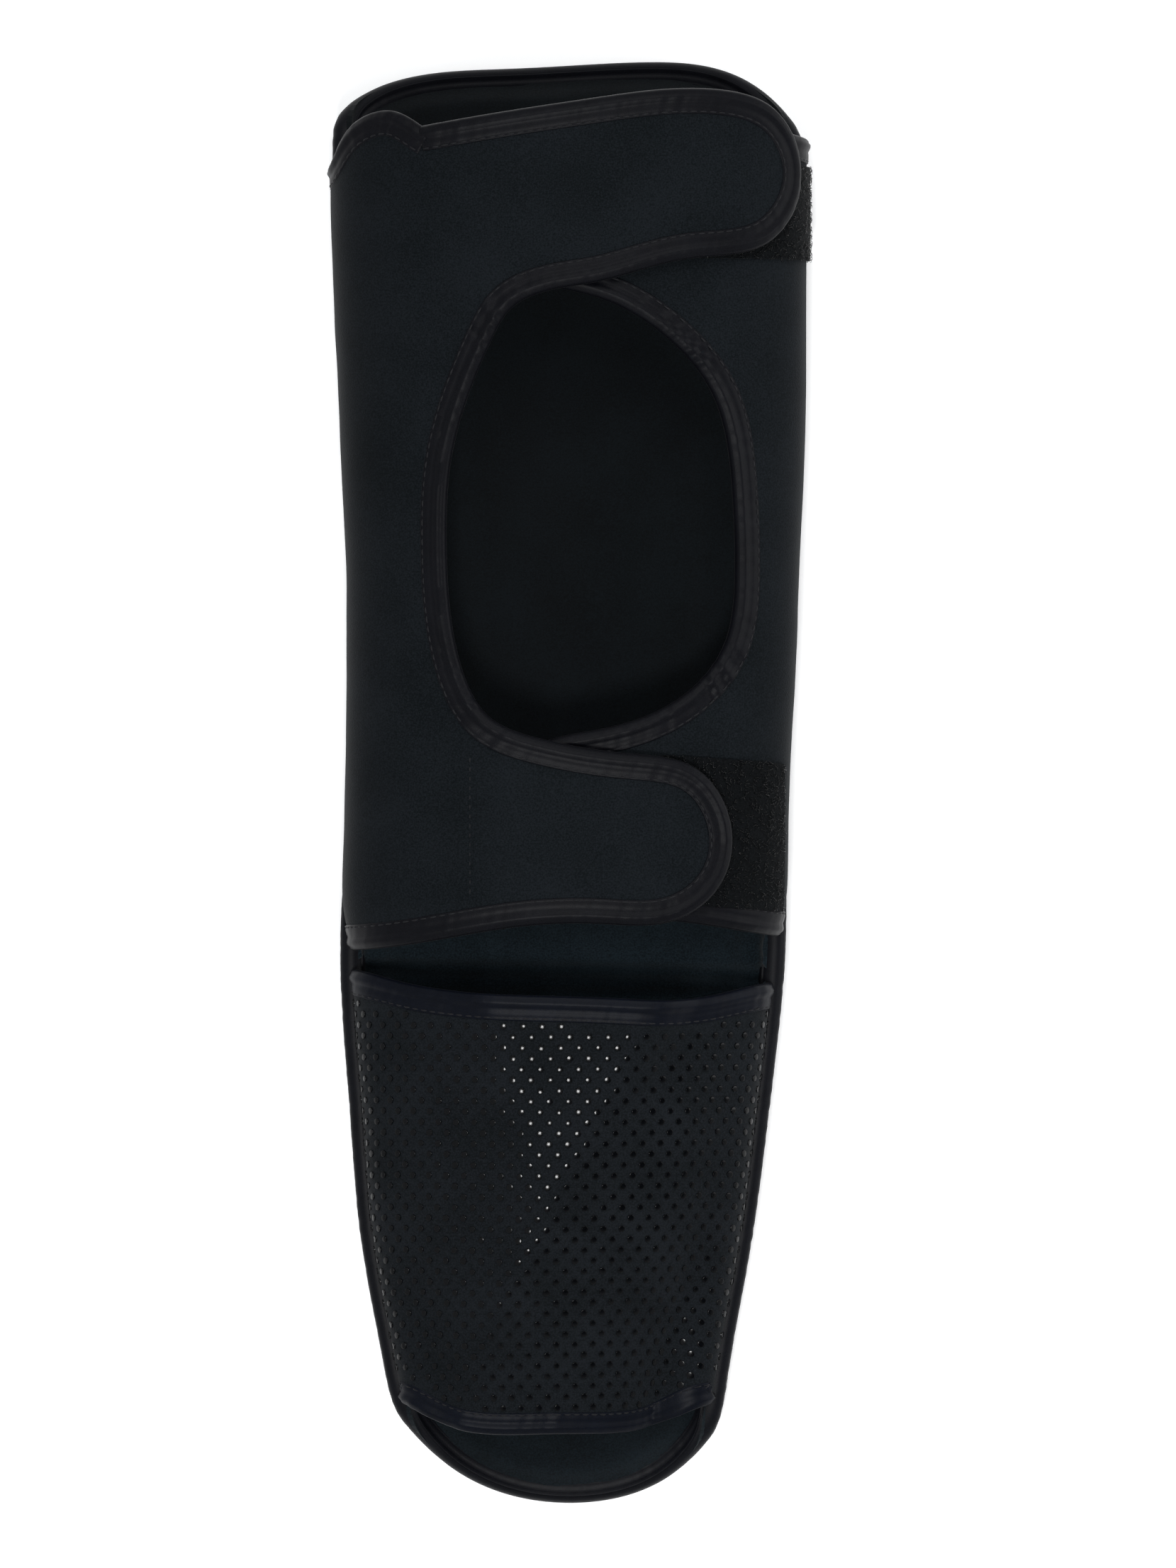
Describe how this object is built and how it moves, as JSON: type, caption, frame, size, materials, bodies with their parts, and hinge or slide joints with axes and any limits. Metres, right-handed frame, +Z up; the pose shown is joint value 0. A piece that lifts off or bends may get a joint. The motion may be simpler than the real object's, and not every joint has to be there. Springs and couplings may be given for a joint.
{
  "type": "shin and instep guard",
  "caption": "Padded shin and instep guard with a grip-dotted sole band and two wings that close over the calf with hook-and-loop straps.",
  "frame": {"origin": "on the floor plane, under the middle of the guard as it lies on its padded front", "axes": "+Y along the guard towards the knee end, +Z up from the padded front to the straps, +X across it, to the right as seen from above with the knee end away"},
  "size_m": [0.1602, 0.4798, 0.0667],
  "materials": {
    "neoprene": "matt knitted jersey over neoprene",
    "satin_tape": "soft satin bias tape",
    "navy_tape": "soft satin bias tape",
    "lining_cloth": "brushed knit",
    "loop_pile": "fuzzy looped pile",
    "hook_tape": "fine moulded hooks",
    "grip_cloth": "knit with raised glossy dots",
    "cover_leather": "grained synthetic leather",
    "firm_foam": "closed-cell foam",
    "soft_foam": "open-cell foam"
  },
  "bodies": {
    "shin": {"shin_cover": "cover_leather", "shin_foam_outer": "firm_foam", "shin_foam_inner": "soft_foam", "shin_lining": "lining_cloth", "shin_rim_binding": "satin_tape"},
    "instep": {"instep_cover": "cover_leather", "instep_foam_outer": "firm_foam", "instep_foam_inner": "soft_foam", "instep_lining": "lining_cloth", "instep_rim_binding": "satin_tape", "sole_panel": "grip_cloth", "sole_top_binding": "navy_tape", "sole_toe_binding": "navy_tape"},
    "left_wing": {"left_wing_panel": "neoprene", "left_wing_knee_binding": "satin_tape", "left_wing_calf_binding": "satin_tape", "left_wing_ankle_binding": "satin_tape"},
    "upper_strap": {"upper_strap_panel": "neoprene", "upper_strap_binding": "satin_tape", "upper_hook_patch": "hook_tape"},
    "lower_strap": {"lower_strap_panel": "neoprene", "lower_strap_binding": "satin_tape", "lower_hook_patch": "hook_tape"},
    "right_wing": {"right_wing_panel": "neoprene", "right_wing_binding": "satin_tape", "upper_loop_patch": "loop_pile", "lower_loop_patch": "loop_pile"}
  },
  "joints": [
    {"name": "left_wing_open", "type": "hinge", "parent": "shin", "child": "left_wing", "pos_m": [-0.08016, 0.18998, 0.0271], "axis": [0.01, -0.9999, 0], "range_deg": [0, 120]},
    {"name": "upper_strap_open", "type": "hinge", "parent": "left_wing", "child": "upper_strap", "pos_m": [-0.03856, 0.18498, 0.06419], "axis": [0, -1, 0], "range_deg": [0, 75]},
    {"name": "lower_strap_open", "type": "hinge", "parent": "left_wing", "child": "lower_strap", "pos_m": [-0.03856, -0.02002, 0.06292], "axis": [0, -1, 0], "range_deg": [0, 75]},
    {"name": "right_wing_open", "type": "hinge", "parent": "shin", "child": "right_wing", "pos_m": [0.08034, 0.18998, 0.0271], "axis": [0.02, 0.9998, 0], "range_deg": [0, 60]},
    {"name": "instep_fold", "type": "hinge", "parent": "shin", "child": "instep", "pos_m": [-0.00006, -0.06102, 0.016], "axis": [1, 0, 0], "range_deg": [0, 70]}
  ],
  "couplings": [
    {"joint": "right_wing_open", "follows": "left_wing_open", "ratio": 0.5}
  ]
}
